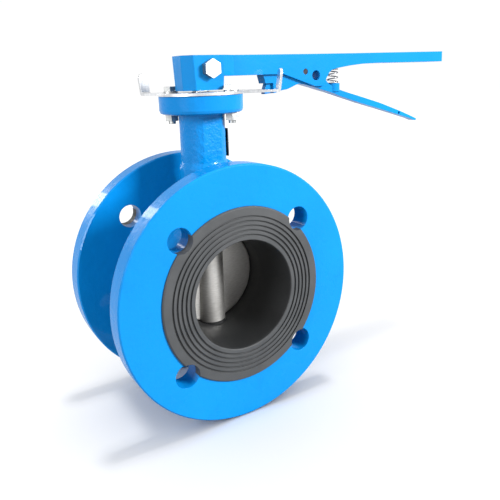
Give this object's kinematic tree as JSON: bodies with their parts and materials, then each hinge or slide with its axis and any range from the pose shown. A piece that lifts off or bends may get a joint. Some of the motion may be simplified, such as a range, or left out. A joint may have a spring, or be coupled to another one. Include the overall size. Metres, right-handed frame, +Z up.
{
  "type": "flanged butterfly valve",
  "caption": "Double-flanged, rubber-lined butterfly valve with a notch plate and a squeeze-trigger hand lever.",
  "frame": {"origin": "centre of the inlet flange's metal face, on the pipe axis", "axes": "the pipe runs along Y and the inlet face looks to -Y; +Z runs up the stem; the lever points to +X when the valve is closed"},
  "size_m": [0.374, 0.1211, 0.2802],
  "materials": {
    "painted_iron": "glossy azure paint over cast iron",
    "painted_lever": "glossy azure paint over a small casting",
    "seat_rubber": "matt dark grey moulded rubber",
    "seal_rubber": "black nitrile rubber",
    "stainless": "satin stainless steel",
    "stem_steel": "turned stainless steel",
    "bronze": "machined bronze",
    "black_steel": "blackened spring steel",
    "zinc_steel": "zinc-plated fastener steel",
    "plate_zinc": "bright zinc-plated sheet steel",
    "spring_steel": "bright spring wire",
    "plate_metal": "blank anodised plate"
  },
  "bodies": {
    "valve_body": {"body": "painted_iron", "seat_liner": "seat_rubber", "upper_bush": "bronze", "middle_bush": "bronze", "lower_bush": "bronze", "stem_o_rings": "seal_rubber", "thrust_washer": "stem_steel", "bottom_plug": "zinc_steel", "plug_seal": "seal_rubber", "notch_plate": "plate_zinc", "plate_bolts": "zinc_steel", "plate_washers": "zinc_steel", "plate_nuts": "zinc_steel", "name_plate": "plate_metal", "name_plate_rivets": "zinc_steel"},
    "lever_and_disc": {"disc": "stainless", "upper_stem": "stem_steel", "lower_stem": "stem_steel", "stem_circlip": "black_steel", "lever_handle": "painted_lever", "clamp_bolt": "zinc_steel", "trigger_pivot_pin": "black_steel", "trigger_spring": "spring_steel"},
    "squeeze_trigger": {"trigger": "painted_lever"}
  },
  "joints": [
    {"name": "stem_turn", "type": "hinge", "parent": "valve_body", "child": "lever_and_disc", "pos_m": [0, 0.056, 0.1], "axis": [0, 0, 1], "range_deg": [0, 90]},
    {"name": "trigger_squeeze", "type": "hinge", "parent": "lever_and_disc", "child": "squeeze_trigger", "pos_m": [0.0985, 0.056, 0.1645], "axis": [0, -1, 0], "range_deg": [0, 5], "stiffness_Nm_per_rad": 4, "springref_deg": -4, "deforming": ["trigger_spring"]}
  ]
}
